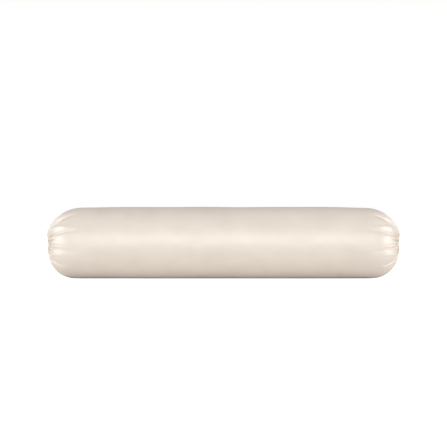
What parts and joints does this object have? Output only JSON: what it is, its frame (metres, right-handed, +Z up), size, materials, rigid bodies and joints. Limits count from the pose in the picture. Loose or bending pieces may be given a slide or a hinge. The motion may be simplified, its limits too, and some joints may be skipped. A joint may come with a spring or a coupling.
{
  "type": "bolster pillow",
  "caption": "Long round side-sleeper's bolster: a fibre-filled inner pillow in a satin case whose ends are gathered on elastic.",
  "frame": {"origin": "middle of the flat strip that the bolster lies on, halfway along its length", "axes": "+X along the bolster, +Z up, +Y away from the viewer to the side that has the case seam"},
  "size_m": [1, 0.2052, 0.2021],
  "materials": {
    "satin": "champagne satin with a soft broad sheen",
    "satin_thread": "polyester sewing and overlock thread, tone on tone",
    "elastic": "off-white braided elastic",
    "ticking": "plain woven off-white cotton, matt",
    "ticking_thread": "cotton sewing thread and binding, matt",
    "fibre": "white hollow polyester fibre"
  },
  "bodies": {
    "inner_pillow": {"filling": "fibre", "ticking_tube": "ticking", "ticking_end_left": "ticking", "ticking_end_right": "ticking", "end_seam_left": "ticking_thread", "end_seam_right": "ticking_thread", "ticking_seam": "ticking_thread"},
    "case": {"case_panel": "satin", "case_seam": "satin_thread", "hem_stitching_left": "satin_thread", "hem_stitching_right": "satin_thread", "elastic_left": "elastic", "elastic_right": "elastic"}
  },
  "joints": [
    {"name": "case_pull_off", "type": "slide", "parent": "inner_pillow", "child": "case", "axis": [1, 0, 0], "range_m": [0, 1.05], "deforming": ["case_panel", "case_seam", "hem_stitching_left", "hem_stitching_right", "elastic_left", "elastic_right"]}
  ]
}
